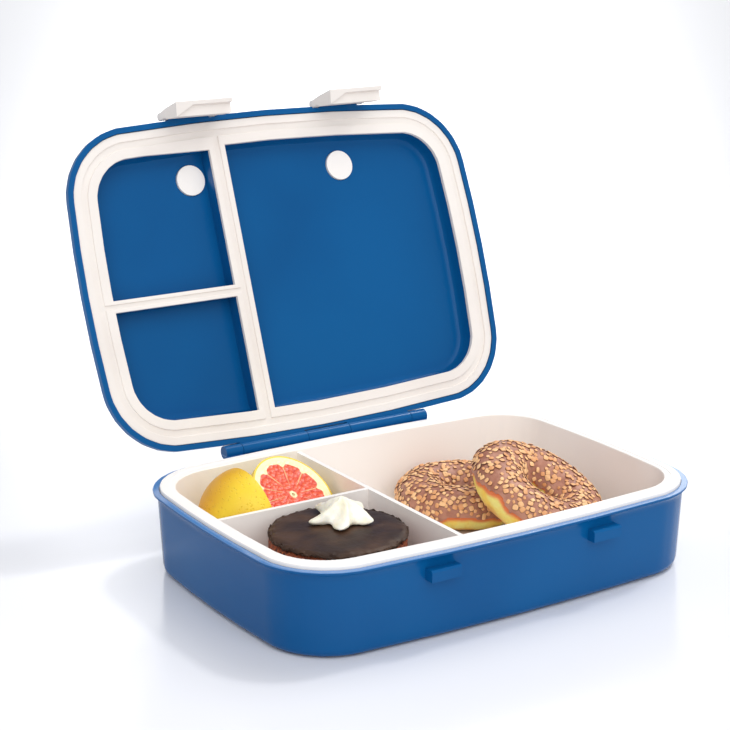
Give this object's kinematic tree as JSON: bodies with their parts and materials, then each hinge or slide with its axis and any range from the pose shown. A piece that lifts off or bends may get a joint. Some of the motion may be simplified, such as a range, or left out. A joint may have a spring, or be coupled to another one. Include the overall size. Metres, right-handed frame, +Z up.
{
  "type": "bento box meal",
  "caption": "Hinged lunch box with a white divided tray holding nut-topped doughnuts, a glazed cake with cream and a cut citrus fruit.",
  "frame": {"origin": "centre of the flat bottom of the box base", "axes": "+X to the right seen from the latches, +Y from the latches to the hinge, +Z up"},
  "size_m": [0.2724, 0.2758, 0.2427],
  "materials": {
    "blue_plastic": "satin",
    "white_plastic": "satin",
    "pin_steel": "satin",
    "citrus_peel": "satin",
    "citrus_flesh": "wet",
    "cake_sponge": "matte",
    "dark_glaze": "satin",
    "cream": "satin",
    "dough": "matte",
    "icing": "satin"
  },
  "bodies": {
    "base": {"base_shell": "blue_plastic", "hinge_pin": "pin_steel", "tray": "white_plastic", "citrus_half": "citrus_flesh", "citrus_rind": "citrus_peel", "cake_sponge": "cake_sponge", "cake_glaze": "dark_glaze", "cream_star": "cream", "doughnut_back_dough": "dough", "doughnut_back_icing": "icing", "doughnut_front_dough": "dough", "doughnut_front_icing": "icing"},
    "lid": {"lid_shell": "blue_plastic", "lid_gasket": "white_plastic", "lid_disc_left": "white_plastic", "lid_disc_right": "white_plastic"},
    "latch_left": {"latch_left": "white_plastic"},
    "latch_right": {"latch_right": "white_plastic"}
  },
  "joints": [
    {"name": "lid_hinge", "type": "hinge", "parent": "base", "child": "lid", "pos_m": [0, 0.0986, 0.04819], "axis": [1, 0, 0], "range_deg": [0, 110.5]},
    {"name": "latch_left_pivot", "type": "hinge", "parent": "lid", "child": "latch_left", "pos_m": [-0.051, 0.16882, 0.2314], "axis": [-1, 0, 0], "range_deg": [0, 100]},
    {"name": "latch_right_pivot", "type": "hinge", "parent": "lid", "child": "latch_right", "pos_m": [0.051, 0.16882, 0.2314], "axis": [-1, 0, 0], "range_deg": [0, 100]}
  ]
}
